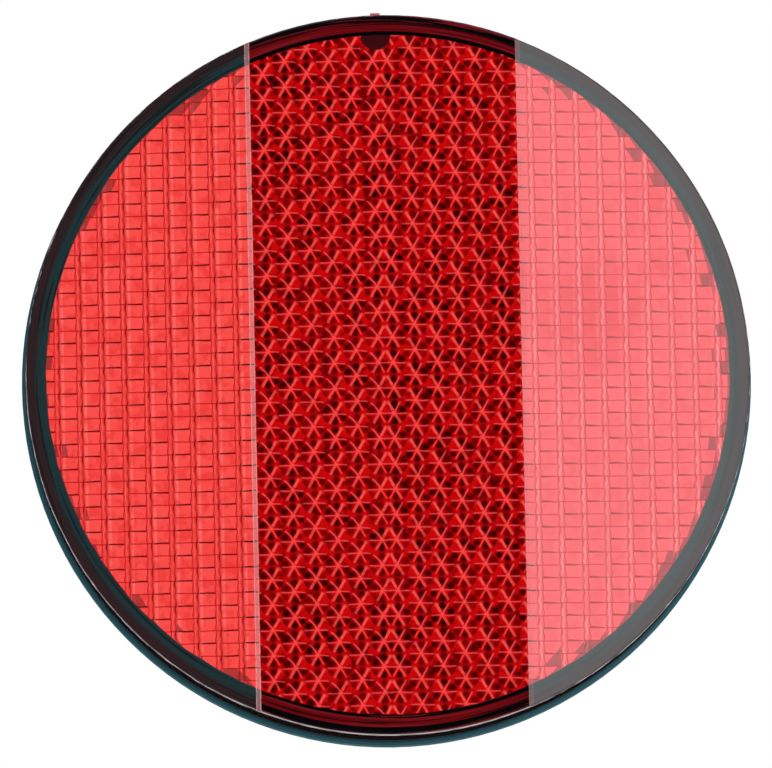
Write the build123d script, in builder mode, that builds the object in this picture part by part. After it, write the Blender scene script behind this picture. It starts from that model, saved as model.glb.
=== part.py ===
"""Round rear reflector for a bicycle: a welded prism lens and back shell on one bolt.

The frame: the origin is the centre of the seat face of the rear boss, where the
reflector is clamped to its bracket. The lens looks along -Y, the bolt points along +Y
and +Z is up. All lengths are in millimetres and all angles in degrees.
"""
from build123d import *
from math import asin, cos, hypot, radians, sin, sqrt, tan
import os

os.makedirs("parts", exist_ok=True)

# Lens, outside
lens_depth = 6.7
lens_edge_round = 0.15
centre_band_width = 25.5
side_facet_tilt = 3.0
band_step_depth = 0.2
band_step_run = 0.4

# Lens, inside
web_thickness = 2.2
prism_field_margin = 0.4
weld_land_depth = 3.7
weld_land_inset = 0.05
lip_thickness = 0.6
weld_groove_width = 0.5
weld_groove_depth = 0.25
weld_bead_share = 0.8
gate_width = 0.9
gate_height = 0.25
gate_depth = 1.2
gate_offset = -0.6
gate_pad_diameter = 2.8

# Cube corners of the centre band
centre_row_pitch = 2.427
middle_column_gap = 1.4
prism_foot_cover = 0.05
prism_root = 0.4

# Leaning cube corners of the side panels
panel_row_pitch = 2.42
panel_column_pitch = 2.14
panel_first_apex = 12.57

# Back shell
housing_diameter = 70.0
flange_reveal = 0.4
flange_thickness = 2.6
flange_edge_chamfer = 0.5
seam_gap = 0.1
wall_thickness = 0.95
lip_clearance = 0.1
floor_thickness = 2.0
boss_diameter = 16.0
boss_height = 3.0
boss_edge_chamfer = 0.5
seat_floor_thickness = 2.0
inner_boss_diameter = 13.0
inner_boss_height = 1.2
gusset_count = 8
gusset_thickness = 1.4
gusset_edge_margin = 10.0
gusset_height = 2.2

# Bolt, washers and nut
bolt_diameter = 5.0
bolt_reach = 14.0
bolt_tip_chamfer = 0.6
bolt_head_width = 8.0
bolt_head_height = 3.5
head_clearance = 0.1
shank_clearance = 0.05
washer_hole_diameter = 5.3
washer_diameter = 10.0
washer_thickness = 1.0
spring_hole_diameter = 5.2
spring_diameter = 9.0
spring_thickness = 1.3
spring_cut_width = 0.8
spring_cut_slant = 20.0
nut_width = 8.0
nut_height = 4.0
nut_chamfer_angle = 30.0
nut_face_share = 0.95
nut_countersink_diameter = 5.3
thread_pitch_diameter = 4.48
thread_clearance = 0.05

# Places worked out from the sizes above
housing_radius = housing_diameter / 2
lens_radius = housing_radius - flange_reveal
shell_back = -boss_height
flange_front = shell_back - flange_thickness
floor_front = shell_back - floor_thickness
lens_back = flange_front - seam_gap
lens_front = lens_back - lens_depth
land_face = lens_front + weld_land_depth
web_back = lens_front + web_thickness
lip_inner_radius = lens_radius - lip_thickness
wall_outer_radius = lip_inner_radius - lip_clearance
wall_inner_radius = wall_outer_radius - wall_thickness
land_inner_radius = wall_inner_radius + weld_land_inset
field_radius = land_inner_radius - prism_field_margin
groove_radius = (wall_inner_radius + wall_outer_radius) / 2
band_half = centre_band_width / 2
panel_tilt = radians(side_facet_tilt)
facet_rise = tan(panel_tilt)
gate_level = lens_front + web_thickness / 2
washer_back = washer_thickness
spring_back = washer_back + spring_thickness
nut_back = spring_back + nut_height
nut_corner_radius = nut_width / sqrt(3)
nut_face_radius = nut_width / 2 * nut_face_share
nut_chamfer_rise = (nut_corner_radius - nut_face_radius) * tan(radians(nut_chamfer_angle))
nut_bore_radius = thread_pitch_diameter / 2 + thread_clearance
gusset_reach = housing_radius - gusset_edge_margin

# The ridge of a cube that stands square on its corner slopes at this angle to the lens plane
centre_slope = asin(1 / sqrt(3))
centre_column_pitch = centre_row_pitch * cos(radians(30))
centre_columns = int((band_half - middle_column_gap / 2) / centre_column_pitch) + 2
# In a panel, each ridge runs down to the valleys of the next column
panel_slope = asin(panel_row_pitch / 2 / panel_column_pitch * cos(panel_tilt)) - panel_tilt
panel_columns = int((field_radius - panel_first_apex) / panel_column_pitch) + 2
rows_each_way = int(field_radius / min(centre_row_pitch, panel_row_pitch)) + 2
panel_back = web_back + band_step_depth
fit_tolerance = 0.001


def saw_outline(pitch, foot, shift):
    """Outline of a row of right-angled teeth, moved along by a share of the pitch."""
    teeth = []
    for row in range(-rows_each_way, rows_each_way + 1):
        ridge = (row + shift) * pitch
        teeth += [(ridge, 0), (ridge + pitch / 2, -pitch / 2)]
    return teeth + [(teeth[-1][0], -foot), (teeth[0][0], -foot)]


def radial_plane(angle):
    """Upright plane through the axis: local X runs outwards and local Y runs back."""
    turn = radians(angle)
    return Plane(origin=(0, 0, 0), x_dir=(cos(turn), 0, sin(turn)), z_dir=(-sin(turn), 0, cos(turn)))


def across_axis(level):
    """Plane square to the axis at a level, drawn as seen from the front."""
    return Plane.XZ.offset(-level)


def ring_edges(part_edges, radius, level):
    """The circles of one radius at one level along the axis."""
    circles = part_edges.filter_by(GeomType.CIRCLE)
    return circles.filter_by(
        lambda edge: abs(edge.radius - radius) + abs(edge.arc_center.Y - level) < fit_tolerance
    )


def corner_columns(first_apex, step, way, slope, row_pitch, columns, inner, outer):
    """Columns of cube corners: leaning toothed slabs side by side, kept to one span across.

    Each slab starts at an apex, and its ridges run down towards the front in the direction
    of way (1 is +X, -1 is -X). The next apex lies one step on.
    """
    ridge_way = Vector(way * cos(slope), -sin(slope), 0)
    slab_thickness = abs(step.dot(ridge_way))
    peak_height = row_pitch / 2 * cos(slope) + slab_thickness * sin(slope)
    foot = (peak_height + prism_foot_cover + prism_root) / cos(slope)
    first_apex += Vector(0, peak_height, 0)
    with BuildPart() as field:
        for start, shift in ((0, 0.5), (1, 0)):
            apexes = [first_apex + step * column for column in range(start, columns, 2)]
            planes = [Plane(origin=apex, x_dir=(0, 0, -way), z_dir=ridge_way) for apex in apexes]
            with BuildSketch(*planes):
                with BuildLine():
                    Polyline(*saw_outline(row_pitch, foot, shift), close=True)
                make_face()
            extrude(amount=slab_thickness)
        with BuildSketch(Plane.XZ):
            with Locations(((inner + outer) / 2, 0)):
                Rectangle(abs(outer - inner), 2 * housing_radius)
        extrude(amount=housing_radius, mode=Mode.INTERSECT)
    return field.part


def centre_half(side):
    """Half of the centre band: cubes square on their corners, ridges down to the middle."""
    first = Vector(side * middle_column_gap / 2, web_back + prism_foot_cover, 0)
    step = Vector(side * centre_column_pitch, 0, 0)
    return corner_columns(
        first, step, -side, centre_slope, centre_row_pitch, centre_columns, 0, side * band_half
    )


def side_panel(side):
    """One side panel: cubes that lean outwards, stepped back with the face of the panel."""
    setback = (panel_first_apex + panel_column_pitch - band_half) * facet_rise
    first = Vector(side * panel_first_apex, panel_back + prism_foot_cover + setback, 0)
    step = Vector(side * panel_column_pitch, panel_column_pitch * facet_rise, 0)
    return corner_columns(
        first, step, side, panel_slope, panel_row_pitch, panel_columns, side * band_half,
        side * housing_radius
    )


prism_groups = [make(side) for side in (-1, 1) for make in (centre_half, side_panel)]

# Prism field: centre band and side panels on the wedges that keep the web one thickness,
# cut to the round field, with a bare pad beside the gate
with BuildPart() as prism_field:
    add(prism_groups)
    for side in (-1, 1):
        with BuildSketch(Plane.XY):
            with BuildLine():
                Polyline(
                    (side * band_half, web_back - prism_foot_cover),
                    (side * band_half, panel_back),
                    (side * housing_radius, panel_back + (housing_radius - band_half) * facet_rise),
                    (side * housing_radius, web_back - prism_foot_cover),
                    close=True,
                )
            make_face()
        extrude(amount=housing_radius, both=True)
    with BuildSketch(Plane.XZ):
        Circle(field_radius)
        with Locations((gate_offset, field_radius)):
            Circle(gate_pad_diameter / 2, mode=Mode.SUBTRACT)
    extrude(amount=housing_radius, mode=Mode.INTERSECT)

# Lens: web, rim with its weld land, and the lip that hides the joint, turned round the axis
with BuildPart() as lens:
    with BuildSketch(Plane.XY):
        with BuildLine():
            Polyline(
                (0, web_back),
                (0, lens_front),
                (lens_radius, lens_front),
                (lens_radius, lens_back),
                (lip_inner_radius, lens_back),
                (lip_inner_radius, land_face),
                (groove_radius + weld_groove_width / 2, land_face),
                (groove_radius, land_face - weld_groove_depth),
                (groove_radius - weld_groove_width / 2, land_face),
                (land_inner_radius, land_face),
                (land_inner_radius, web_back),
                close=True,
            )
        make_face()
    revolve(axis=Axis.Y)

    # The two side panels step down from the centre band, then fall away to the rim
    past_rim = housing_radius + 1
    step_foot = band_half + band_step_run
    facet_foot = lens_front + band_step_depth + (past_rim - step_foot) * facet_rise
    for side in (-1, 1):
        with BuildSketch(Plane.XY):
            with BuildLine():
                Polyline(
                    (side * band_half, lens_front),
                    (side * step_foot, lens_front + band_step_depth),
                    (side * past_rim, facet_foot),
                    (side * past_rim, lens_front - lens_depth),
                    (side * band_half, lens_front - lens_depth),
                    close=True,
                )
            make_face()
        extrude(amount=past_rim, both=True, mode=Mode.SUBTRACT)
    rim_edges = edges().filter_by(GeomType.LINE, reverse=True).filter_by(
        lambda edge: hypot(edge.center().X, edge.center().Z) > land_inner_radius
        and edge.center().Y < gate_level
    )
    fillet(rim_edges, min(lens_edge_round, band_step_depth * 0.75))

    # Stub of the moulding gate, left on the rim at the top
    gate_plane = Plane(origin=(gate_offset, gate_level, lip_inner_radius), z_dir=(0, 0, 1))
    with BuildSketch(gate_plane):
        Rectangle(gate_width, gate_depth)
    extrude(amount=lip_thickness + gate_height)

    add(prism_field.part)

# Back shell: floor, flange, weld wall with its bead, and bosses, turned round the axis
with BuildPart() as housing:
    bead_half = weld_groove_width / 2 * weld_bead_share
    with BuildSketch(Plane.XY):
        with BuildLine():
            Polyline(
                (0, 0),
                (boss_diameter / 2, 0),
                (boss_diameter / 2, shell_back),
                (housing_radius, shell_back),
                (housing_radius, flange_front),
                (wall_outer_radius, flange_front),
                (wall_outer_radius, land_face),
                (groove_radius + bead_half, land_face),
                (groove_radius, land_face - weld_groove_depth * weld_bead_share),
                (groove_radius - bead_half, land_face),
                (wall_inner_radius, land_face),
                (wall_inner_radius, floor_front),
                (inner_boss_diameter / 2, floor_front),
                (inner_boss_diameter / 2, floor_front - inner_boss_height),
                (0, floor_front - inner_boss_height),
                close=True,
            )
        make_face()
    revolve(axis=Axis.Y)
    chamfer(ring_edges(edges(), housing_radius, shell_back), flange_edge_chamfer)
    chamfer(ring_edges(edges(), boss_diameter / 2, 0), boss_edge_chamfer)

    # Gussets from the boss out across the back
    gusset_root = boss_diameter / 2 - boss_edge_chamfer
    with BuildSketch(*[radial_plane(360 / gusset_count * (turn + 0.5)) for turn in range(gusset_count)]):
        with BuildLine():
            Polyline(
                (gusset_root, shell_back - floor_thickness / 2),
                (gusset_root, shell_back + gusset_height),
                (boss_diameter / 2, shell_back + gusset_height),
                (gusset_reach, shell_back),
                (gusset_reach, shell_back - floor_thickness / 2),
                close=True,
            )
        make_face()
    extrude(amount=gusset_thickness / 2, both=True)

    # Hexagonal pocket that traps the head of the bolt, and the hole for its shank
    with BuildSketch(across_axis(-seat_floor_thickness)):
        RegularPolygon(bolt_head_width / 2 + head_clearance, 6, major_radius=False)
    extrude(amount=housing_radius, mode=Mode.SUBTRACT)
    with BuildSketch(across_axis(-seat_floor_thickness)):
        Circle(bolt_diameter / 2 + shank_clearance)
    extrude(amount=-seat_floor_thickness, mode=Mode.SUBTRACT)

# Bolt: hexagonal head inside the shell, shank out through the seat
with BuildPart() as bolt:
    with BuildSketch(across_axis(-seat_floor_thickness)):
        RegularPolygon(bolt_head_width / 2, 6, major_radius=False)
    extrude(amount=bolt_head_height)
    with BuildSketch(across_axis(-seat_floor_thickness)):
        Circle(bolt_diameter / 2)
    extrude(amount=-seat_floor_thickness - bolt_reach)
    chamfer(ring_edges(edges(), bolt_diameter / 2, bolt_reach), bolt_tip_chamfer)

    # Where the nut grips, both threads are drawn as plain cylinders at their pitch diameter
    with BuildSketch(across_axis(spring_back)):
        Circle(bolt_diameter / 2)
        Circle(thread_pitch_diameter / 2, mode=Mode.SUBTRACT)
    extrude(amount=-nut_height, mode=Mode.SUBTRACT)

# Plain washer against the seat
with BuildPart() as plain_washer:
    with BuildSketch(across_axis(0)):
        Circle(washer_diameter / 2)
        Circle(washer_hole_diameter / 2, mode=Mode.SUBTRACT)
    extrude(amount=-washer_thickness)

# Spring washer: a ring split by one slanting cut at the top
with BuildPart() as spring_washer:
    with BuildSketch(across_axis(washer_back)):
        Circle(spring_diameter / 2)
        Circle(spring_hole_diameter / 2, mode=Mode.SUBTRACT)
    extrude(amount=-spring_thickness)
    with BuildSketch(Plane.XY):
        with Locations((0, washer_back + spring_thickness / 2)):
            Rectangle(spring_cut_width, 3 * spring_thickness, rotation=spring_cut_slant)
    extrude(amount=spring_diameter, mode=Mode.SUBTRACT)

# Nut: hexagon with its corners turned off and its bore countersunk at both faces
with BuildPart() as nut:
    with BuildSketch(across_axis(spring_back)):
        RegularPolygon(nut_width / 2, 6, major_radius=False)
    extrude(amount=-nut_height)
    with BuildSketch(Plane.XY):
        with BuildLine():
            Polyline(
                (0, spring_back),
                (nut_face_radius, spring_back),
                (nut_corner_radius, spring_back + nut_chamfer_rise),
                (nut_corner_radius, nut_back - nut_chamfer_rise),
                (nut_face_radius, nut_back),
                (0, nut_back),
                close=True,
            )
        make_face()
    revolve(axis=Axis.Y, mode=Mode.INTERSECT)
    with BuildSketch(across_axis(spring_back)):
        Circle(nut_bore_radius)
    extrude(amount=-nut_height, mode=Mode.SUBTRACT)
    mouths = [ring_edges(edges(), nut_bore_radius, level) for level in (spring_back, nut_back)]
    chamfer(mouths[0] + mouths[1], nut_countersink_diameter / 2 - nut_bore_radius)

lens.part.label = "lens"
housing.part.label = "housing"
bolt.part.label = "bolt"
plain_washer.part.label = "plain_washer"
spring_washer.part.label = "spring_washer"
nut.part.label = "nut"

export_step(lens.part, "parts/lens.step")
export_step(housing.part, "parts/housing.step")
export_step(bolt.part, "parts/bolt.step")
export_step(plain_washer.part, "parts/plain_washer.step")
export_step(spring_washer.part, "parts/spring_washer.step")
export_step(nut.part, "parts/nut.step")
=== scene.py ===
"""Looks of a round red bicycle reflector: clear moulded lens, black shell, plated M5 bolt.

The frame is the model's own: the lens looks along -Y, the bolt runs along +Y, +Z is up.
Lengths are in metres where Blender wants them and in millimetres inside the patterns.
"""

import logging
import math
from dataclasses import dataclass, field
from enum import Enum
from typing import Any

import bmesh
import bpy
from bpy.types import Material, Mesh, Node, NodeSocket, NodeTree, Object
from mathutils import Matrix, Vector


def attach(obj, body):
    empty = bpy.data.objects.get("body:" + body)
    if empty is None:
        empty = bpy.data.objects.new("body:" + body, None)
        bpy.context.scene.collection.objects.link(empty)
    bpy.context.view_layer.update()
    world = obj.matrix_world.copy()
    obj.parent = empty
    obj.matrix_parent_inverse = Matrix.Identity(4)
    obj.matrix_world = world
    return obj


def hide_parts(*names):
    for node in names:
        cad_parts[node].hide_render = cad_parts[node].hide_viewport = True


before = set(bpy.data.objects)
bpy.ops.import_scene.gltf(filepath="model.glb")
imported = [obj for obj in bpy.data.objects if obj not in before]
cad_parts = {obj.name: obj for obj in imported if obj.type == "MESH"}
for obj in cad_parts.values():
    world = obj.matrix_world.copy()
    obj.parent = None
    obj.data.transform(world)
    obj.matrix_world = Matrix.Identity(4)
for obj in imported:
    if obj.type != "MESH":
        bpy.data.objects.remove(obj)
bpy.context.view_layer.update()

# Where a soft step begins, and where it is full
Span = tuple[float, float]

LOG = logging.getLogger("reflector")
MM = 0.001
ROOT_BODY = "root"


class Side(Enum):
    """The two halves of the lens, as seen from the front."""

    LEFT = -1
    RIGHT = 1


def linear(hex_colour: str) -> tuple[float, float, float, float]:
    """Turn an sRGB hex colour into the linear colour that a shader wants.

    Args:
        hex_colour: six hex digits, such as "c81420".

    Returns:
        Linear red, green, blue and an alpha of 1.
    """
    channels = [int(hex_colour[i:i + 2], 16) / 255 for i in (0, 2, 4)]
    lin = [c / 12.92 if c <= 0.04045 else ((c + 0.055) / 1.055) ** 2.4 for c in channels]
    return (*lin, 1.0)


def feed(tree: NodeTree, node: Node, inputs: dict[Any, Any]) -> None:
    """Link or set inputs of a node.

    Args:
        tree: the node tree of the node.
        node: the node.
        inputs: sockets by name or number; a socket or field is linked, a value is set.
    """
    for key, value in inputs.items():
        socket = getattr(value, "socket", value)
        if isinstance(socket, NodeSocket):
            tree.links.new(socket, node.inputs[key])
        else:
            node.inputs[key].default_value = socket


def add_node(
    tree: NodeTree, kind: str, settings: dict[str, Any], inputs: dict[Any, Any]
) -> Node:
    """Add a node, set its properties, and link or set its inputs.

    Args:
        tree: the node tree that gets the node.
        kind: the node's type name.
        settings: properties of the node by name.
        inputs: what feed takes.

    Returns:
        The new node.
    """
    node = tree.nodes.new(kind)
    for name, value in settings.items():
        setattr(node, name, value)
    feed(tree, node, inputs)
    return node


@dataclass(frozen=True)
class Field:
    """A value that varies over a surface; arithmetic on it adds nodes to its tree."""

    tree: NodeTree
    socket: NodeSocket

    def math(self, operation: str, *others: "Field | float") -> "Field":
        """Apply a math operation to this field and the others.

        Args:
            operation: the math node's operation.
            others: the further operands.

        Returns:
            The result.
        """
        inputs = dict(enumerate((self, *others)))
        node = add_node(self.tree, "ShaderNodeMath", {"operation": operation}, inputs)
        return Field(self.tree, node.outputs[0])

    def __add__(self, other: "Field | float") -> "Field":
        """Sum of this and another field or number."""
        return self.math("ADD", other)

    def __sub__(self, other: "Field | float") -> "Field":
        """This less another field or number."""
        return self.math("SUBTRACT", other)

    def __mul__(self, other: "Field | float") -> "Field":
        """Product of this and another field or number."""
        return self.math("MULTIPLY", other)

    def __abs__(self) -> "Field":
        """Size of this without its sign."""
        return self.math("ABSOLUTE")

    def wrap(self, half: float) -> "Field":
        """Repeat this value between minus half and half."""
        return self.math("WRAP", half, -half)

    def ramp(self, low: float, high: float) -> "Field":
        """Step smoothly from 0 at one value to 1 at another.

        Args:
            low: the value that gives 0.
            high: the value that gives 1; it may lie below the first.

        Returns:
            The mask.
        """
        settings = {"interpolation_type": "SMOOTHSTEP"}
        inputs = {"Value": self, "From Min": low, "From Max": high}
        node = add_node(self.tree, "ShaderNodeMapRange", settings, inputs)
        return Field(self.tree, node.outputs[0])

    def near(self, place: float, half_width: float, soft: float) -> "Field":
        """1 within half a width of a place, falling smoothly to 0 around it."""
        return abs(self - place).ramp(half_width + soft, max(half_width - soft, 0.0))

    def inverse(self) -> "Field":
        """1 less this mask."""
        return self.math("MULTIPLY_ADD", -1.0, 1.0)


def start_finish(name: str) -> tuple[Material, NodeSocket, tuple[Field, Field, Field]]:
    """Start a material on Object coordinates.

    Args:
        name: name of the material.

    Returns:
        The material, the socket of its Object coordinates, and the three of them in mm.
    """
    material = bpy.data.materials.new(name)
    material.use_nodes = True
    tree = material.node_tree
    place = add_node(tree, "ShaderNodeTexCoord", {}, {}).outputs["Object"]
    inputs = {0: place, 1: (1 / MM, 1 / MM, 1 / MM)}
    scaled = add_node(tree, "ShaderNodeVectorMath", {"operation": "MULTIPLY"}, inputs)
    parts = add_node(tree, "ShaderNodeSeparateXYZ", {}, {0: scaled.outputs[0]})
    x, y, z = (Field(tree, parts.outputs[number]) for number in range(3))
    return material, place, (x, y, z)


@dataclass(frozen=True)
class Spot:
    """A place across the lens, seen from the front: across and up, in millimetres."""

    across: Field
    up: Field

    def vector(self) -> NodeSocket:
        """The place as one vector socket."""
        inputs = {"X": self.across, "Y": self.up}
        return add_node(self.across.tree, "ShaderNodeCombineXYZ", {}, inputs).outputs[0]

    def reach(self) -> Field:
        """Distance of the place from the middle, in millimetres."""
        return (self.across * self.across + self.up * self.up).math("SQRT")

    def turned(self, degrees: float) -> "Spot":
        """Give the same place in axes that are turned anticlockwise.

        Args:
            degrees: how far the axes are turned.

        Returns:
            The place in the turned axes.
        """
        tree = self.across.tree
        settings = {"rotation_type": "Z_AXIS"}
        inputs = {"Vector": self.vector(), "Angle": -math.radians(degrees)}
        turn = add_node(tree, "ShaderNodeVectorRotate", settings, inputs)
        parts = add_node(tree, "ShaderNodeSeparateXYZ", {}, {0: turn.outputs[0]})
        return Spot(*(Field(tree, parts.outputs[number]) for number in range(2)))


@dataclass(frozen=True)
class Paint:
    """A colour over a surface, which masks lay further colours on."""

    tree: NodeTree
    socket: Any

    def over(self, mask: Field, colour: Any) -> "Paint":
        """Lay a colour over this one where the mask is 1.

        Args:
            mask: how much of the colour shows, 0 to 1.
            colour: a hex colour, or another paint's socket.

        Returns:
            The mixed paint.
        """
        top = linear(colour) if isinstance(colour, str) else colour
        settings = {"data_type": "RGBA", "clamp_factor": True}
        inputs = {"Factor": mask, 6: self.socket, 7: top}
        mix = add_node(self.tree, "ShaderNodeMix", settings, inputs)
        return Paint(self.tree, mix.outputs[2])


@dataclass(frozen=True)
class LensForm:
    """Sizes of the lens that its finish follows, in millimetres.

    The front is a flat centre band, a narrow step at each side of it, and two side facets
    that fall back by facet_rise for each millimetre outwards.
    """

    band_half: float = 12.75
    step_run: float = 0.4
    step_depth: float = 0.2
    facet_rise: float = 0.0524
    front_level: float = -12.4
    field_radius: float = 32.62
    outer_radius: float = 34.6

    def depth(self, x: Field, y: Field) -> Field:
        """Find how deep a place lies behind the lens's outer face.

        Args:
            x: place across the lens in mm.
            y: place along the axis in mm.

        Returns:
            The depth in mm.
        """
        out = (abs(x) - self.band_half).math("MAXIMUM", 0.0)
        step = out.math("GREATER_THAN", self.step_run / 2) * self.step_depth
        return y - self.front_level - out * self.facet_rise - step


LENS = LensForm()


@dataclass(frozen=True)
class StarRay:
    """One bright line of a star: its angle in degrees, and its width and ends in mm.

    The line may lie a little beside the star's centre, and bend in the left half of the band.
    """

    angle: float
    width: float
    start: float
    end: float
    colour: str
    drop: float = 0.0
    bend: float = 0.0


@dataclass(frozen=True)
class Patch:
    """One soft patch between the lines of a star: its place and half sizes in mm."""

    across: float
    up: float
    half_across: float
    half_up: float
    colour: str


@dataclass(frozen=True)
class CubeCornerStars:
    """Centre band: six-armed stars, one to each pin, on a hexagonal grid.

    The eye sees the three edges of each cube corner and their mirror images, so each pin
    shows a star with light arms and dark faces. Angles run from the outward direction.
    """

    # The pins in mm, and each pin's own colours
    row_pitch: float = 2.427
    middle_gap: float = 1.4
    ground: str = "ca0609"
    mottle: str = "780004"
    heart: str = "ff4844"
    half_way_line: str = "8c1018"
    # Half widths and soft edges of the lines in mm, and how much the noise changes them
    half_way_half: float = 0.03
    half_way_strength: float = 0.6
    heart_reach: float = 0.3
    patch_edge: Span = (1.5, 0.4)
    ray_soft: float = 0.05
    start_soft: float = 0.08
    end_soft: float = 0.12
    steady: float = 0.65
    mottle_part: Span = (0.54, 0.3)
    lively_part: Span = (0.3, 0.55)
    rays: tuple[StarRay, ...] = (
        StarRay(0, 0.1, 0.0, 1.2, "e64c4e", drop=-0.1),
        StarRay(180, 0.1, 0.0, 1.0, "e64c4e", drop=0.06, bend=0.06),
        StarRay(60, 0.12, 0.05, 1.2, "ea5458", bend=-0.15),
        StarRay(120, 0.24, 0.25, 1.2, "fa4f4b"),
        StarRay(240, 0.16, 0.1, 1.1, "ff3834"),
        StarRay(300, 0.24, 0.1, 1.15, "f04440"),
    )
    patches: tuple[Patch, ...] = (
        Patch(0.02, 0.82, 0.36, 0.42, "300000"),
        Patch(0.84, 0.3, 0.46, 0.38, "2c0000"),
        Patch(-0.76, -0.46, 0.4, 0.36, "340000"),
        Patch(0.04, -0.8, 0.36, 0.44, "380000"),
        Patch(0.96, -0.55, 0.4, 0.34, "6a0204"),
        Patch(-0.64, 0.98, 0.3, 0.22, "d82420"),
    )

    def nearest_pin(self, x: Field, z: Field) -> tuple[Spot, Field]:
        """Find the place as seen from the nearest pin.

        Args:
            x: place across the lens in mm, with its sign.
            z: place up the lens in mm.

        Returns:
            The place from the pin's centre, and a chance value that the pin keeps.
        """
        tree = x.tree
        column = self.row_pitch * math.cos(math.radians(30))
        half_row = self.row_pitch / 2
        out = abs(x) - self.middle_gap / 2
        even = Spot(out.wrap(column), (z - half_row).wrap(half_row))
        odd = Spot((out - column).wrap(column), z.wrap(half_row))
        pick = odd.reach().math("LESS_THAN", even.reach())
        inputs = {"Factor": pick, 4: even.vector(), 5: odd.vector()}
        place = add_node(tree, "ShaderNodeMix", {"data_type": "VECTOR"}, inputs).outputs[1]
        parts = add_node(tree, "ShaderNodeSeparateXYZ", {}, {0: place})
        here = Spot(*(Field(tree, parts.outputs[number]) for number in range(2)))

        pin = Spot(
            ((out - here.across) * (1 / column)).math("ROUND"),
            ((z - here.up) * (1 / half_row)).math("ROUND") + x.math("SIGN") * 100.0,
        )
        chance = add_node(tree, "ShaderNodeTexWhiteNoise", {}, {0: pin.vector()})
        return here, Field(tree, chance.outputs[0])

    def paint(self, x: Field, z: Field, uneven: Field) -> Paint:
        """Build the stars.

        Args:
            x: place across the lens in mm, with its sign.
            z: place up the lens in mm.
            uneven: fine noise, 0 to 1, that breaks up the lines and dark patches.

        Returns:
            The paint of the band.
        """
        here, chance = self.nearest_pin(x, z)
        half_row = self.row_pitch / 2
        paint = Paint(x.tree, linear(self.ground))
        paint = paint.over(uneven.ramp(*self.mottle_part), self.mottle)
        deep = chance * (1 - self.steady) + self.steady
        lively = uneven.ramp(*self.lively_part) * (1 - self.steady) + self.steady
        bent = x.math("LESS_THAN", 0.0)
        for patch in self.patches:
            off_across = (here.across - patch.across) * (1 / patch.half_across)
            off_up = (here.up - patch.up) * (1 / patch.half_up)
            gap = Spot(off_across, off_up).reach()
            paint = paint.over(gap.ramp(*self.patch_edge) * deep, patch.colour)
        line = (here.up - half_row).wrap(half_row).near(0.0, self.half_way_half, self.ray_soft)
        paint = paint.over(line * self.half_way_strength, self.half_way_line)
        for ray in self.rays:
            along = here.turned(ray.angle)
            off = along.up - ray.drop
            if ray.bend:
                off = off - along.across * along.across * bent * ray.bend
            half = ray.width / 2
            mask = abs(off).ramp(half + self.ray_soft, half - self.ray_soft)
            far = along.across
            mask = mask * far.ramp(ray.start - self.start_soft, ray.start + self.start_soft)
            mask = mask * far.ramp(ray.end + self.end_soft, ray.end - self.end_soft)
            paint = paint.over(mask * lively, ray.colour)
        return paint.over(here.reach().ramp(self.heart_reach, self.ray_soft), self.heart)


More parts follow.
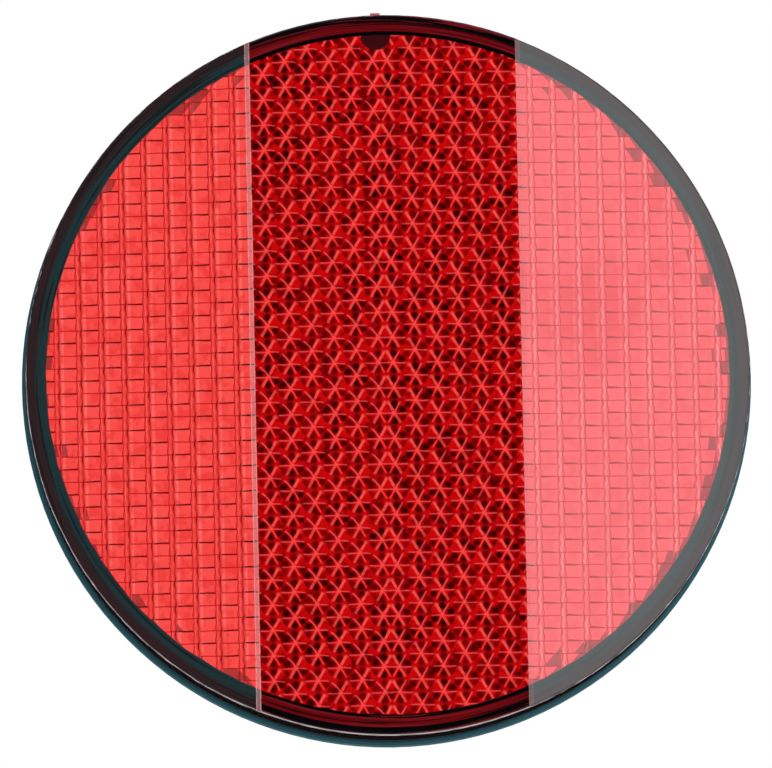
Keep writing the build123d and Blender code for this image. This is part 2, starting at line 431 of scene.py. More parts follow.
@dataclass(frozen=True)
class PanelBricks:
    """A side panel: columns of leaning cube corners, seen as courses of bright squares.

    Each column shows a narrow stripe on its inner side, where its upright faces stand, and
    pairs of squares beyond it, split by a strong line and a faint line.
    """

    side: Side
    square: str
    shade: str
    glint: str
    blotch: str
    strong_line: str
    faint_line: str
    stripe: str
    stripe_glint: str
    dark_line: str
    edge_line: str
    strong_half: float
    strong_taper: float
    dark_place: float
    dark_half: float
    edge_place: float
    stripe_glint_place: float
    stripe_glint_half: float
    glint_half: float
    wave_height: float
    column_pitch: float
    first_column: float
    drop: float
    # Sizes, half widths and soft edges in mm
    row_pitch: float = 2.42
    faint_half: float = 0.05
    faint_soft: float = 0.035
    edge_half: float = 0.045
    edge_soft: float = 0.05
    stripe_soft: float = 0.04
    line_soft: float = 0.06
    strong_soft: Span = (0.04, 0.03)
    glint_inset: float = 0.2
    glint_soft: float = 0.1
    blot_up: float = 0.2
    blot_reach: Span = (0.75, 0.1)
    # Shares of a colour, and the parts of the noises that bring them out
    dull: float = 0.3
    shade_strength: float = 0.8
    blotch_strength: float = 0.55
    glint_strength: float = 0.75
    blot_least: float = 0.55
    lively_part: Span = (0.35, 0.6)
    shade_part: Span = (0.55, 0.35)
    blotch_part: Span = (0.54, 0.7)
    # The bar in the column cut by the fold, and the cells broken off at the round edge
    fold_bar: str = "240808"
    broken_shade: str = "5c1014"
    broken_strength: float = 0.6
    broken_part: Span = (0.6, 1.0)
    cut_depth: float = 1.3
    cut_slant: float = 0.45
    cut_back: float = 0.6
    cut_soft: float = 0.05

    def paint(self, x: Field, z: Field, uneven: Field, patchy: Field) -> Paint:
        """Build the courses for one panel.

        Args:
            x: place across the lens in mm.
            z: place up the lens in mm.
            uneven: fine noise, 0 to 1, that breaks up the lines.
            patchy: slow noise, 0 to 1, for the deeper blotches.

        Returns:
            The paint of the panel.
        """
        half_row = self.row_pitch / 2
        radius = Spot(x, z).reach()
        out = abs(x) - self.first_column
        count = (out * (1 / self.column_pitch)).math("FLOOR")
        across = out - count * self.column_pitch
        shift = count.math("FLOORED_MODULO", 2.0) * half_row - self.drop
        row = (z - shift).wrap(half_row)
        half_way = (z - shift - half_row).wrap(half_row)
        wave = (row * (4 * math.pi / self.row_pitch)).math("SINE") * self.wave_height
        lively = uneven.ramp(*self.lively_part) * (1 - self.dull) + self.dull

        # The bright squares, their blotches, and the glint at their outer side
        paint = Paint(x.tree, linear(self.square))
        paint = paint.over(uneven.ramp(*self.shade_part) * self.shade_strength, self.shade)
        paint = paint.over(patchy.ramp(*self.blotch_part) * self.blotch_strength, self.blotch)
        light = across.near(self.column_pitch - self.glint_inset, self.glint_half, self.glint_soft)
        paint = paint.over(light * lively * self.glint_strength, self.glint)

        # The narrow stripe and its glint
        soft = self.stripe_soft
        in_stripe = across.ramp(self.edge_place + soft, self.edge_place - soft)
        paint = paint.over(in_stripe, self.stripe)
        bent = across + wave
        light = bent.near(self.stripe_glint_place, self.stripe_glint_half, self.line_soft)
        paint = paint.over(light * lively, self.stripe_glint)

        # The faint line, and the strong line, which thickens towards the stripe
        faint = half_way.near(0.0, self.faint_half, self.faint_soft)
        paint = paint.over(faint, self.faint_line)
        in_square = across.ramp(self.edge_place - soft / 2, self.edge_place + self.line_soft)
        before = self.column_pitch - self.glint_soft
        in_square = in_square * across.ramp(self.column_pitch, before)
        taper = across.ramp(self.column_pitch, self.edge_place) * self.strong_taper
        strong = abs(row - taper * 0.4) - taper * 0.5
        outside, within = self.strong_soft
        strong = strong.ramp(self.strong_half + outside, self.strong_half - within)
        at_fold = count.math("LESS_THAN", 0.0)
        line = Paint(x.tree, linear(self.strong_line)).over(at_fold, self.fold_bar)
        paint = paint.over(strong * in_square, line.socket)

        # The two upright lines of the stripe, the inner one in blots
        edge = (across - wave).near(self.edge_place, self.edge_half, self.edge_soft)
        paint = paint.over(edge * (lively * 0.5 + 0.5), self.edge_line)
        blots = abs(half_way + self.blot_up).ramp(*self.blot_reach)
        blots = blots * (1 - self.blot_least) + self.blot_least
        dark = bent.near(self.dark_place, self.dark_half, self.line_soft)
        paint = paint.over(dark * blots, self.dark_line)

        # Cells that are broken off at the round edge, whole cells at a time
        course = (z + self.drop).math("DIVIDE", half_row).math("FLOOR")
        cell = Spot(count, course + self.side.value * 50.0).vector()
        chance = add_node(x.tree, "ShaderNodeTexWhiteNoise", {}, {0: cell}).outputs[0]
        cut = radius + Field(x.tree, chance).ramp(*self.broken_part) * self.cut_depth
        cut = cut + across * self.cut_slant - self.cut_back
        broken = cut.ramp(LENS.field_radius - self.cut_soft, LENS.field_radius + self.cut_soft)
        return paint.over(broken * self.broken_strength, self.broken_shade)


# Each panel gets its own painted light: colours and line places differ because the light falls
# differently on the two sides
LEFT_BRICKS = PanelBricks(
    side=Side.LEFT,
    square="ff4d49", shade="f23835", glint="ff726d", blotch="ee2c2a", strong_line="780000",
    faint_line="c00a10", stripe="f23a37", stripe_glint="ff5c57", dark_line="900002",
    edge_line="b4040a", strong_half=0.06, strong_taper=0.04, dark_place=0.15, dark_half=0.075,
    edge_place=0.61, stripe_glint_place=0.42, stripe_glint_half=0.05, glint_half=0.12,
    wave_height=0.04, column_pitch=2.14, first_column=13.87, drop=0.12,
)
RIGHT_BRICKS = PanelBricks(
    side=Side.RIGHT,
    square="f9555d", shade="f04b53", glint="fe6168", blotch="e8202c", strong_line="a80000",
    faint_line="cc0c24", stripe="f04d54", stripe_glint="ff7f85", dark_line="c00000",
    edge_line="c40008", strong_half=0.04, strong_taper=0.1, dark_place=0.1, dark_half=0.03,
    edge_place=0.62, stripe_glint_place=0.34, stripe_glint_half=0.09, glint_half=0.1,
    wave_height=0.05, column_pitch=2.19, first_column=13.93, drop=0.44,
)


@dataclass(frozen=True)
class BareRim:
    """Rim outside the prisms: near black, because the black shell lies behind its clear wall.

    In the band the weld shows through it as dull red rings. Beside the band it is blue-green
    within and brown without. Its front corner carries a painted highlight along the bottom and
    up the left side, broken by fine noise, and painted glints all round.
    """

    shade: str = "040607"
    outer_shade: str = "240a0e"
    weld_shade: str = "680910"
    side_shade: str = "132d30"
    side_outer_shade: str = "281619"
    streak_glint: str = "7c1820"
    wall_shade: str = "201618"
    edge_highlight: str = "e0d4d4"
    weld_from: float = 32.95
    weld_to: float = 33.9
    weld_soft: float = 0.15
    outer_from: float = 34.1
    side_change: float = 33.6
    side_soft: float = 0.2
    side_stray: float = 0.5
    # Streaks round the rim, 0.25 mm apart and 14 mm long, the red ones painted glints in the weld,
    # and finer noise
    ring_mm: float = 0.25
    along_mm: float = 14.286
    fine_noise_scale: float = 9.0
    streak_strength: float = 0.7
    side_streak_strength: float = 0.02
    dark_streak_strength: float = 0.8
    streak_part: Span = (0.56, 0.62)
    dark_streak_part: Span = (0.46, 0.4)
    highlight_noise_part: Span = (0.4, 0.55)
    highlight_noise_strength: float = 0.55
    glint_peak: Span = (0.6, 0.66)
    wall_from: Span = (34.54, 34.58)
    edge_from: Span = (34.48, 34.56)
    edge_depth: Span = (0.75, 0.65)
    edge_strength: float = 0.4
    side_edge_strength: float = 0.1
    edge_low: Span = (-4.0, -16.0)
    left_limit: Span = (-30.0, -34.0)
    left_rise: float = 10.0

    def painted_edge_highlight(self, x: Field, y: Field, z: Field, fine_noise: Field, beside: Field) -> Field:
        """Find the painted highlight of the front corner: along the bottom, up the left side, and
        in glints.

        Args:
            x: place across the lens in mm.
            y: place along the axis in mm.
            z: place up the lens in mm.
            fine_noise: fine noise round the rim, 0 to 1.
            beside: 1 beside the band, 0 in it.

        Returns:
            The mask of the corner.
        """
        corner = LENS.depth(x, y).ramp(*self.edge_depth)
        corner = corner * Spot(x, z).reach().ramp(*self.edge_from)
        full = beside * (self.side_edge_strength - self.edge_strength) + self.edge_strength
        low = (z - x.ramp(*self.left_limit) * self.left_rise).ramp(*self.edge_low)
        low = low * (fine_noise.ramp(*self.highlight_noise_part) * self.highlight_noise_strength + full)
        return corner * (low + fine_noise.ramp(*self.glint_peak))

    def paint(self, x: Field, y: Field, z: Field) -> Paint:
        """Build everything outside the prisms.

        Args:
            x: place across the lens in mm.
            y: place along the axis in mm.
            z: place up the lens in mm.

        Returns:
            The paint of the rim.
        """
        tree = x.tree
        radius = Spot(x, z).reach()
        along = 1 / self.along_mm
        inputs = {"X": radius * (1 / self.ring_mm), "Y": x * along, "Z": z * along}
        round_way = add_node(tree, "ShaderNodeCombineXYZ", {}, inputs).outputs[0]
        inputs = {"Vector": round_way, "Scale": 1.0, "Detail": 2.0}
        streaks = Field(tree, add_node(tree, "ShaderNodeTexNoise", {}, inputs).outputs[0])
        inputs = {"Vector": round_way, "Scale": self.fine_noise_scale, "Detail": 1.0}
        fine_noise = Field(tree, add_node(tree, "ShaderNodeTexNoise", {}, inputs).outputs[0])

        paint = Paint(tree, linear(self.shade))
        paint = paint.over(radius.ramp(self.outer_from, LENS.outer_radius), self.outer_shade)
        weld = radius.ramp(self.weld_from, self.weld_from + self.weld_soft)
        weld = weld * radius.ramp(self.weld_to, self.weld_to - self.weld_soft)
        paint = paint.over(weld, self.weld_shade)
        beside = abs(x).math("GREATER_THAN", LENS.band_half)
        outer = radius + fine_noise * self.side_stray - self.side_stray / 2
        outer = outer.ramp(self.side_change - self.side_soft, self.side_change + self.side_soft)
        side = Paint(tree, linear(self.side_shade)).over(outer, self.side_outer_shade)
        paint = paint.over(beside, side.socket)
        # Red streaks are painted glints in the weld, strong in the band and faint beside it; dark
        # streaks darken the rim
        vivid = beside * (self.side_streak_strength - self.streak_strength) + self.streak_strength
        paint = paint.over(streaks.ramp(*self.streak_part) * vivid, self.streak_glint)
        dark = streaks.ramp(*self.dark_streak_part) * self.dark_streak_strength
        paint = paint.over(dark, self.shade)
        paint = paint.over(radius.ramp(*self.wall_from), self.wall_shade)
        # Painted highlight and painted glints on the front corner
        return paint.over(self.painted_edge_highlight(x, y, z, fine_noise, beside), self.edge_highlight)


@dataclass(frozen=True)
class StepLines:
    """The two narrow raised steps beside the centre band, pale where they catch the light."""

    shade: str = "96343a"
    line: str = "f09a9a"
    face_depth: Span = (0.3, 0.2)
    line_half: float = 0.03
    soft: float = 0.04
    strength: float = 0.15
    left_strength: float = 0.35
    line_strength: float = 0.1
    left_line_strength: float = 0.3
    left_line_life: float = 0.5
    life_part: Span = (0.35, 0.6)
    run_soft: float = 0.05

    def over(self, paint: Paint, x: Field, y: Field, uneven: Field) -> Paint:
        """Lay the steps over a paint.

        Args:
            paint: the paint below.
            x: place across the lens in mm.
            y: place along the axis in mm.
            uneven: fine noise, 0 to 1, that breaks up the lines.

        Returns:
            The paint with the steps.
        """
        out = abs(x) - LENS.band_half
        on_face = LENS.depth(x, y).ramp(*self.face_depth)
        left = x.math("LESS_THAN", 0.0)
        half_run = LENS.step_run / 2
        body = left * (self.left_strength - self.strength) + self.strength
        inside = out.near(half_run, half_run, self.run_soft) * on_face
        paint = paint.over(inside * body, self.shade)
        life = uneven.ramp(*self.life_part) * self.left_line_life
        lit = left * (life + (self.left_line_strength - self.line_strength)) + self.line_strength
        for place in (0.0, LENS.step_run):
            line = out.near(place, self.line_half, self.soft)
            paint = paint.over(line * on_face * lit, self.line)
        return paint


@dataclass(frozen=True)
class ClearRedAcrylic:
    """Lens: acrylic moulded red and clear against polished steel.

    The faces are glassy and let a little light through. What the prisms behind them send
    back, light at their edges and dark in their hollows, is the colour of the faces. A bump
    gives the wall of the rim its draft, a fall of wall_draft in each millimetre.
    """

    name: str = "injection moulded clear red acrylic"
    ior: float = 1.49
    roughness: float = 0.03
    see_through: float = 0.12
    stub_shade: str = "c46a72"
    pad_shade: str = "3a0c10"
    pad_across: float = -0.6
    pad_radius: float = 1.5
    pad_soft: float = 0.15
    field_soft: float = 0.06
    field_stray: float = 0.16
    stub_soft: float = 0.04
    # The image of the pins sits a little beside and below them, and wanders with the flow
    lattice_shift: float = 0.24
    star_drop: float = 0.1
    wander_mm: float = 0.16
    # Unevenness about as wide as a pin's face, that of the field's edge, and slow blotches of
    # deeper red, six pins wide
    fine_mm: float = 1.1111
    coarse_mm: float = 1.786
    blotch_mm: float = 14.29
    wall_draft: float = 0.1
    draft_from: Span = (34.4, 34.5)
    stars: CubeCornerStars = CubeCornerStars()
    rim: BareRim = BareRim()
    steps: StepLines = StepLines()

    def prisms(self, place: NodeSocket, x: Field, z: Field, grain: Node) -> Paint:
        """Build the band, the two panels and the round pad behind the stub.

        Args:
            place: the socket of the Object coordinates.
            x: place across the lens in mm.
            z: place up the lens in mm.
            grain: the fine noise, which breaks up the lines and leads them a little astray.

        Returns:
            The paint of the prisms.
        """
        tree = x.tree
        uneven = Field(tree, grain.outputs[0])
        inputs = {"Vector": place, "Scale": 1 / (self.blotch_mm * MM), "Detail": 2.0}
        patchy = Field(tree, add_node(tree, "ShaderNodeTexNoise", {}, inputs).outputs[0])
        sway = add_node(tree, "ShaderNodeSeparateColor", {}, {0: grain.outputs[1]})
        still = self.wander_mm / 2
        x_in = x + Field(tree, sway.outputs[0]) * self.wander_mm + (self.lattice_shift - still)
        z_in = z + Field(tree, sway.outputs[2]) * self.wander_mm - still

        paint = self.stars.paint(x_in, z_in + self.star_drop, uneven)
        for bricks in (LEFT_BRICKS, RIGHT_BRICKS):
            panel = bricks.paint(x_in, z_in, uneven, patchy)
            in_panel = (x * float(bricks.side.value)).math("GREATER_THAN", LENS.band_half)
            paint = paint.over(in_panel, panel.socket)
        pad = Spot(x - self.pad_across, z - LENS.field_radius).reach()
        pad = pad.ramp(self.pad_radius, self.pad_radius - self.pad_soft)
        return paint.over(pad, self.pad_shade)

    def build(self) -> Material:
        """Build the material.

        Returns:
            The finished material.
        """
        material, place, (x, y, z) = start_finish(self.name)
        tree = material.node_tree
        radius = Spot(x, z).reach()
        inputs = {"Vector": place, "Scale": 1 / (self.fine_mm * MM), "Detail": 3.0}
        grain = add_node(tree, "ShaderNodeTexNoise", {}, inputs)
        inputs = {"Vector": place, "Scale": 1 / (self.coarse_mm * MM), "Detail": 0.0}
        coarse = Field(tree, add_node(tree, "ShaderNodeTexNoise", {}, inputs).outputs[0])

        edge = radius + coarse * self.field_stray - self.field_stray / 2
        edge = edge.ramp(LENS.field_radius - self.field_soft, LENS.field_radius + self.field_soft)
        paint = self.prisms(place, x, z, grain).over(edge, self.rim.paint(x, y, z).socket)
        paint = self.steps.over(paint, x, y, Field(tree, grain.outputs[0]))
        stub = z.ramp(LENS.outer_radius, LENS.outer_radius + self.stub_soft)
        paint = paint.over(stub, self.stub_shade)
        height = LENS.depth(x, y) * radius.ramp(*self.draft_from)
        inputs = {"Strength": 1.0, "Distance": self.wall_draft * MM, "Height": height}
        draft = add_node(tree, "ShaderNodeBump", {}, inputs)
        feed(tree, tree.nodes["Principled BSDF"], {
            "Base Color": paint,
            "Roughness": self.roughness,
            "IOR": self.ior,
            "Transmission Weight": self.see_through,
            "Normal": draft.outputs[0],
        })
        return material


@dataclass(frozen=True)
class MouldedShellPlastic:
    """Shell: black ABS with a cold blue-green cast, satin from a fine spark-eroded mould.

    The outer edge of its flange is paler.
    """

    name: str = "moulded black ABS"
    colour: str = "04434c"
    worn_colour: str = "09515b"
    pale_edge_colour: str = "24606e"
    pale_edge_from: Span = (34.65, 34.8)
    pale_edge_least: float = 0.6
    roughness: float = 0.5
    roughness_spread: float = 0.12
    ior: float = 1.53
    specular_level: float = 0.35
    # Eroded grain, drawn five times as coarse as it is so that it shows, and wide clouds
    # left by handling
    grain_mm: float = 0.25
    grain_depth_mm: float = 0.02
    grain_strength: float = 0.15
    cloud_mm: float = 11.111
    worn_part: Span = (0.4, 0.75)

    def build(self) -> Material:
        """Build the material.

        Returns:
            The finished material.
        """
        material, place, (x, _, z) = start_finish(self.name)
        tree = material.node_tree
        inputs = {"Vector": place, "Scale": 1 / (self.grain_mm * MM), "Detail": 2.0}
        grain = Field(tree, add_node(tree, "ShaderNodeTexNoise", {}, inputs).outputs[0])
        inputs = {"Vector": place, "Scale": 1 / (self.cloud_mm * MM), "Detail": 4.0}
        cloud = Field(tree, add_node(tree, "ShaderNodeTexNoise", {}, inputs).outputs[0])
        paint = Paint(tree, linear(self.colour))
        paint = paint.over(cloud.ramp(*self.worn_part), self.worn_colour)
        pale_edge = Spot(x, z).reach().ramp(*self.pale_edge_from)
        paint = paint.over(pale_edge * (cloud * 0.5 + self.pale_edge_least), self.pale_edge_colour)
        depth = self.grain_depth_mm * MM
        inputs = {"Strength": self.grain_strength, "Distance": depth, "Height": grain}
        bump = add_node(tree, "ShaderNodeBump", {}, inputs)
        spread = self.roughness_spread
        feed(tree, tree.nodes["Principled BSDF"], {
            "Base Color": paint,
            "Roughness": cloud * spread + (self.roughness - spread / 2),
            "IOR": self.ior,
            "Specular IOR Level": self.specular_level,
            "Normal": bump.outputs[0],
        })
        return material


@dataclass(frozen=True)
class ZincPlatedSteel:
    """Bolt, washers and nut: turned and pressed steel, bright zinc plated, faintly blue."""

    name: str = "bright zinc plated steel"
    colour: str = "c4c8cc"
    dull_colour: str = "b4b8ba"
    roughness: float = 0.3
    roughness_spread: float = 0.12
    # Spangle of the plating, drawn coarser than it is so that it shows
    cloud_mm: float = 1.1111
    dull_part: Span = (0.42, 0.7)
    grain_depth_mm: float = 0.003
    grain_strength: float = 0.1
    # Painted shade in the roots of the thread: radii, and where the thread starts and ends
    root_shade: str = "50555a"
    root_strength: float = 0.8
    root_reach: Span = (2.4, 2.12)
    thread_from: Span = (6.4, 6.6)
    thread_to: Span = (13.7, 13.5)

    def build(self, threaded: bool = False) -> Material:
        """Build the material.

        Args:
            threaded: whether the roots of a thread get painted shade.

        Returns:
            The finished material.
        """
        material, place, (x, y, z) = start_finish(self.name)
        tree = material.node_tree
        inputs = {"Vector": place, "Scale": 1 / (self.cloud_mm * MM), "Detail": 5.0}
        cloud = Field(tree, add_node(tree, "ShaderNodeTexNoise", {}, inputs).outputs[0])
        paint = Paint(tree, linear(self.colour))
        paint = paint.over(cloud.ramp(*self.dull_part), self.dull_colour)
        if threaded:
            # Painted shade in the roots of the thread
            root = Spot(x, z).reach().ramp(*self.root_reach)
            root = root * y.ramp(*self.thread_from) * y.ramp(*self.thread_to)
            paint = paint.over(root * self.root_strength, self.root_shade)
        depth = self.grain_depth_mm * MM
        inputs = {"Strength": self.grain_strength, "Distance": depth, "Height": cloud}
        bump = add_node(tree, "ShaderNodeBump", {}, inputs)
        spread = self.roughness_spread
        feed(tree, tree.nodes["Principled BSDF"], {
            "Base Color": paint,
            "Metallic": 1.0,
            "Roughness": cloud * spread + (self.roughness - spread / 2),
            "Normal": bump.outputs[0],
        })
        return material


@dataclass
class ThreadedBolt:
    """M5 bolt: the plain head and shank of the frame's node, with a thread on the free end.

    Lengths are in millimetres. Inside the nut the rod stays at its pitch diameter.
    """

    pitch: float = 0.8
    major_radius: float = 2.5
    minor_radius: float = 2.07
    held_radius: float = 2.2
    joint: float = 5.95
    overlap: float = 0.1
    nut_back: float = 6.3
    tip: float = 14.0
    tip_chamfer: float = 0.6
    facets: int = 48
    loops_per_turn: int = 12
    flank_slope: float = 2.6
    root_flat: float = 0.3
    run_out_slope: float = 4.0
    merge_mm: float = 0.001
    sharp_angle: float = 35.0
    group_name: str = "rolled thread"

    def sizes(self) -> dict[str, float]:
        """The inputs of the thread's node group by name, lengths in metres."""
        return {
            "Pitch": self.pitch * MM,
            "Major radius": self.major_radius * MM,
            "Minor radius": self.minor_radius * MM,
            "Held radius": self.held_radius * MM,
            "Start": (self.joint - self.overlap) * MM,
            "Held until": self.nut_back * MM,
            "End": self.tip * MM,
            "Tip chamfer": self.tip_chamfer * MM,
        }

    def group(self, material: Material) -> NodeTree:
        """Build the node group that rolls a thread onto a rod along +Y.

        Args:
            material: the finish of the thread; not used.

        Returns:
            The node group.
        """
        tree = bpy.data.node_groups.new(self.group_name, "GeometryNodeTree")
        face = tree.interface
        face.new_socket("Geometry", in_out="INPUT", socket_type="NodeSocketGeometry")
        for name in self.sizes():
            face.new_socket(name, in_out="INPUT", socket_type="NodeSocketFloat")
        face.new_socket("Material", in_out="INPUT", socket_type="NodeSocketMaterial")
        face.new_socket("Geometry", in_out="OUTPUT", socket_type="NodeSocketGeometry")
        given = add_node(tree, "NodeGroupInput", {}, {})
        size = {name: Field(tree, given.outputs[name]) for name in self.sizes()}
        length = size["End"] - size["Start"]
        loops = round((self.tip - self.joint) / self.pitch * self.loops_per_turn)
        inputs = {
            "Vertices": self.facets, "Side Segments": loops, "Radius": size["Major radius"],
            "Depth": length,
        }
        rod = add_node(tree, "GeometryNodeMeshCylinder", {"fill_type": "NGON"}, inputs)
        place = add_node(tree, "GeometryNodeInputPosition", {}, {}).outputs[0]
        parts = add_node(tree, "ShaderNodeSeparateXYZ", {}, {0: place})
        x, y, along = (Field(tree, parts.outputs[number]) for number in range(3))
        along = along + length * 0.5 + size["Start"]
        turn = y.math("ARCTAN2", x)
        phase = (along.math("DIVIDE", size["Pitch"]) - turn * (0.5 / math.pi)).math("FRACT")
        height = abs(phase - 0.5) * self.flank_slope - self.root_flat
        height = height.math("MAXIMUM", 0.0).math("MINIMUM", 1.0)
        depth = size["Major radius"] - size["Minor radius"]
        reach = size["Minor radius"] + height * depth
        worn = (along - size["End"] + size["Tip chamfer"]).math("MAXIMUM", 0.0)
        reach = reach.math("MINIMUM", size["Major radius"] - worn)
        free = (along - size["Held until"]).math("MAXIMUM", 0.0) * self.run_out_slope
        reach = reach.math("MINIMUM", size["Held radius"] + free)
        inputs = {
            "X": turn.math("COSINE") * reach, "Y": along, "Z": turn.math("SINE") * reach * -1.0
        }
        moved = add_node(tree, "ShaderNodeCombineXYZ", {}, inputs)
        inputs = {"Geometry": rod.outputs["Mesh"], "Position": moved.outputs[0]}
        rolled = add_node(tree, "GeometryNodeSetPosition", {}, inputs)
        real = add_node(tree, "GeometryNodeRealizeInstances", {}, {0: rolled.outputs[0]})
        inputs = {"Geometry": real.outputs[0], "Material": given.outputs["Material"]}
        done = add_node(tree, "GeometryNodeSetMaterial", {}, inputs)
        add_node(tree, "NodeGroupOutput", {}, {0: done.outputs[0]})
        return tree

    def thread(self, material: Material) -> Mesh:
        """Roll the thread of the free end.

        Args:
            material: the finish of the thread.

        Returns:
            The mesh of the threaded rod.
        """
        tree = self.group(material)
        carrier = bpy.data.objects.new("carrier", bpy.data.meshes.new("carrier"))
        bpy.context.scene.collection.objects.link(carrier)
        modifier = carrier.modifiers.new("thread", "NODES")
        modifier.node_group = tree
        sockets = {
            item.name: item.identifier
            for item in tree.interface.items_tree if item.in_out == "INPUT"
        }
        for name, value in self.sizes().items():
            modifier[sockets[name]] = value
        modifier[sockets["Material"]] = material
        seen = carrier.evaluated_get(bpy.context.evaluated_depsgraph_get())
        mesh = bpy.data.meshes.new_from_object(seen)
        carrier.modifiers.remove(modifier)
        bpy.data.objects.remove(carrier)
        return mesh

    def build(self, material: Material) -> Object:
        """Join the thread to the head and shank.

        Args:
            material: the finish of the bolt.

        Returns:
            The finished bolt.
        """
        work = bmesh.new()
        work.from_mesh(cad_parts["bolt"].data)
        bmesh.ops.remove_doubles(work, verts=work.verts, dist=self.merge_mm * MM)
        bmesh.ops.bisect_plane(
            work, geom=[*work.verts, *work.edges, *work.faces], clear_outer=True,
            plane_co=(0, self.joint * MM, 0), plane_no=(0, 1, 0),
        )
        bmesh.ops.holes_fill(work, edges=[edge for edge in work.edges if edge.is_boundary])
        work.from_mesh(self.thread(material))
        bmesh.ops.recalc_face_normals(work, faces=work.faces)
        for edge in work.edges:
            edge.smooth = edge.calc_face_angle(0.0) < math.radians(self.sharp_angle)
        for face in work.faces:
            face.smooth = True
        mesh = bpy.data.meshes.new("bolt threaded")
        work.to_mesh(mesh)
        work.free()
        mesh.attributes.remove(mesh.attributes["custom_normal"])
        mesh.materials.clear()
        mesh.materials.append(material)
        bolt = bpy.data.objects.new("bolt_threaded", mesh)
        bpy.context.scene.collection.objects.link(bolt)
        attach(bolt, ROOT_BODY)
        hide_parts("bolt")
        LOG.info("bolt_threaded: %s, %d faces", material.name, len(mesh.polygons))
        return bolt


def dress(node_name: str, material: Material) -> None:
    """Give a node of the frame its material.

    Args:
        node_name: name of the node.
        material: the finish that it gets.
    """
    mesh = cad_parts[node_name].data
    mesh.materials.clear()
    mesh.materials.append(material)
    LOG.info("%s: %s, %d triangles", node_name, material.name, len(mesh.polygons))


@dataclass(frozen=True)
class Zone:
    """A soft-edged zone of the surroundings before the lens.

    Its limits are in degrees, sideways and in height: where it begins, where it is full,
    where it begins to fade, and where it ends.
    """

    sideways: tuple[float, float, float, float]
    height: tuple[float, float, float, float]
    light: float

    def mask(self, sideways: Field, height: Field) -> Field:
        """Find where the zone shows.

        Args:
            sideways: angle of a direction to the side, in degrees.
            height: angle of a direction upwards, in degrees.

        Returns:
            The mask of the zone.
        """
        begin, full, fade, end = self.sideways
        across = sideways.ramp(begin, full) * sideways.ramp(end, fade)
        begin, full, fade, end = self.height
        return across * height.ramp(begin, full) * height.ramp(end, fade)


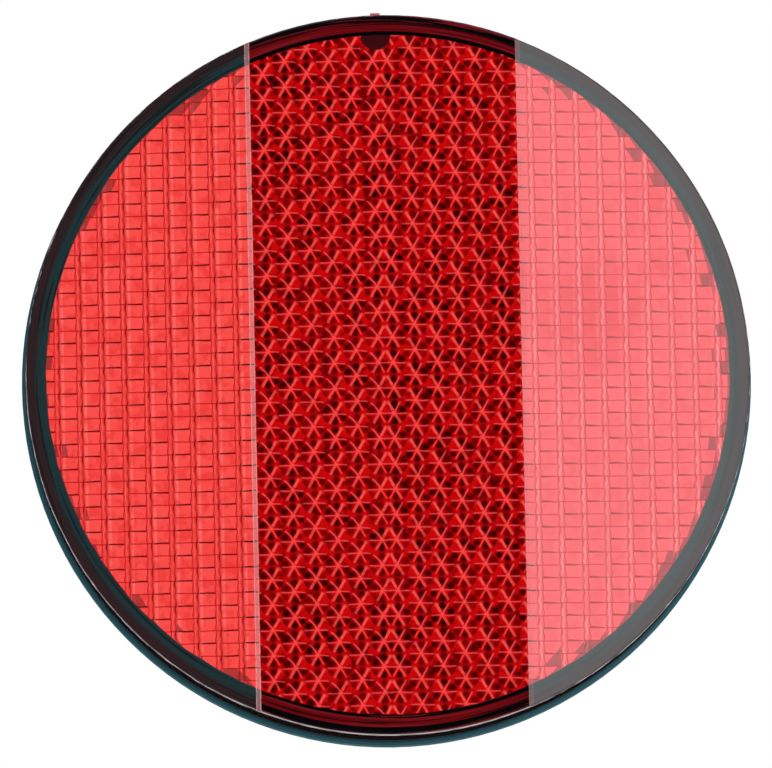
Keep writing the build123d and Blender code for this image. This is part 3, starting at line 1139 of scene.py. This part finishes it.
@dataclass
class Studio:
    """Soft light all round, a bright panel on the right, and a dark gap at the camera.

    The gap shows in the flat band, the panel in the right facet, and the dim wall in the
    left facet. The two light boxes only light.
    """

    distance: float = 1.0
    azimuth: float = -1.6
    elevation: float = -7.0
    roll: float = 1.15
    pixels_per_mm: float = 10.49
    aim_across: float = -0.24
    aim_up: float = -1.0
    image_width: float = 772.0
    sensor_mm: float = 36.0
    floor_level: float = -0.3
    floor_half: float = 1.2
    floor_back: float = 0.6
    floor_colour: str = "f2f2f0"
    floor_roughness: float = 0.9
    clip_end: float = 20.0
    around: float = 0.7
    gap: Zone = Zone((-3.6, -2.8, 6.4, 7.2), (-30, -26, 30, 34), 0.01)
    dim_wall: Zone = Zone((-24, -16, -3.6, -2.8), (-30, -26, 30, 34), 0.18)
    panel: Zone = Zone((6.4, 7.2, 27, 30), (-20, -18, 36, 40), 2.84)
    boxes: Zone = Zone((40, 44, 62, 66), (-12, -8, 40, 44), 3.0)
    behind_colour: str = "120f12"
    behind: Span = (38.0, 28.0)

    def camera(self) -> Object:
        """Place the camera at the viewing angle.

        Returns:
            The camera object.
        """
        data = bpy.data.cameras.new("camera")
        data.sensor_width = self.sensor_mm
        seen_mm = self.image_width / self.pixels_per_mm
        data.lens = self.sensor_mm * self.distance / (seen_mm * MM)
        data.clip_end = self.clip_end
        camera = bpy.data.objects.new("camera", data)
        azimuth, elevation = math.radians(self.azimuth), math.radians(self.elevation)
        towards = Vector((
            math.sin(azimuth) * math.cos(elevation),
            -math.cos(azimuth) * math.cos(elevation),
            math.sin(elevation),
        ))
        centre = Vector((0, LENS.front_level * MM, 0))
        place = centre + towards * self.distance
        roll = Matrix.Rotation(-math.radians(self.roll), 3, "Z")
        turn = (-towards).to_track_quat("-Z", "Y").to_matrix() @ roll
        aim = centre + turn @ Vector((self.aim_across * MM, self.aim_up * MM, 0))
        look = (aim - place).to_track_quat("-Z", "Y").to_matrix() @ roll
        camera.matrix_world = Matrix.Translation(place) @ look.to_4x4()
        bpy.context.scene.collection.objects.link(camera)
        bpy.context.scene.camera = camera
        return camera

    def world(self) -> None:
        """Light the scene from a plain pale world, which the camera sees as white."""
        world = bpy.data.worlds.new("studio")
        world.use_nodes = True
        bpy.context.scene.world = world
        tree = world.node_tree
        way = add_node(tree, "ShaderNodeTexCoord", {}, {}).outputs["Generated"]
        parts = add_node(tree, "ShaderNodeSeparateXYZ", {}, {0: way})
        across, back, up = (Field(tree, parts.outputs[number]) for number in range(3))
        sideways = across.math("ARCTAN2", back * -1.0) * math.degrees(1)
        height = up.math("ARCSINE") * math.degrees(1)
        forward = back.math("LESS_THAN", 0.0)  # the lens looks along -Y
        change = self.boxes.mask(abs(sideways), height) * (self.boxes.light - self.around)
        for zone in (self.gap, self.dim_wall, self.panel):
            change = change + zone.mask(sideways, height) * (zone.light - self.around)
        level = change * forward + self.around
        behind = back.ramp(*(math.cos(math.radians(limit)) for limit in self.behind))
        light = add_node(tree, "ShaderNodeLightPath", {}, {})
        shown = Field(tree, light.outputs["Is Camera Ray"])
        level = level + shown * (level * -1.0 + 1.0)
        colour = Paint(tree, linear("ffffff")).over(behind * shown.inverse(), self.behind_colour)
        feed(tree, tree.nodes["Background"], {"Color": colour, "Strength": level})

    def floor(self) -> None:
        """Lay the pale floor well below the held part."""
        mesh = bpy.data.meshes.new("floor")
        side, far = self.floor_half, self.floor_back
        corners = [(-side, -side), (side, -side), (side, far), (-side, far)]
        mesh.from_pydata([(x, y, self.floor_level) for x, y in corners], [], [(0, 1, 2, 3)])
        floor = bpy.data.objects.new("floor", mesh)
        bpy.context.scene.collection.objects.link(floor)
        material = bpy.data.materials.new("pale matt paint")
        material.use_nodes = True
        tree = material.node_tree
        inputs = {"Base Color": linear(self.floor_colour), "Roughness": self.floor_roughness}
        feed(tree, tree.nodes["Principled BSDF"], inputs)
        mesh.materials.append(material)

    def build(self) -> None:
        """Set up the camera, the light, the floor and the colour view."""
        self.camera()
        self.world()
        self.floor()
        bpy.context.scene.view_settings.view_transform = "Standard"


@dataclass
class WeldedBody:
    """The closed body: the lens, and the shell that it is welded to."""

    lens_finish: ClearRedAcrylic = field(default_factory=ClearRedAcrylic)
    shell_finish: MouldedShellPlastic = field(default_factory=MouldedShellPlastic)

    def build(self) -> None:
        """Dress both mouldings."""
        dress("lens", self.lens_finish.build())
        dress("housing", self.shell_finish.build())


@dataclass
class Fixing:
    """The M5 fixing: the bolt with its thread, the two washers and the nut."""

    finish: ZincPlatedSteel = field(default_factory=ZincPlatedSteel)
    rolled_finish: ZincPlatedSteel = field(
        default_factory=lambda: ZincPlatedSteel(name="bright zinc plated steel, rolled thread")
    )
    bolt: ThreadedBolt = field(default_factory=ThreadedBolt)

    def build(self) -> None:
        """Dress the plain pieces and put the threaded bolt in the place of the plain one."""
        zinc = self.finish.build()
        for name in ("bolt", "plain_washer", "spring_washer", "nut"):
            dress(name, zinc)
        self.bolt.build(self.rolled_finish.build(threaded=True))


def main() -> None:
    """Build both sub-assemblies and the studio."""
    logging.basicConfig(level=logging.INFO)
    WeldedBody().build()
    Fixing().build()
    Studio().build()


if __name__ == "__main__":
    main()
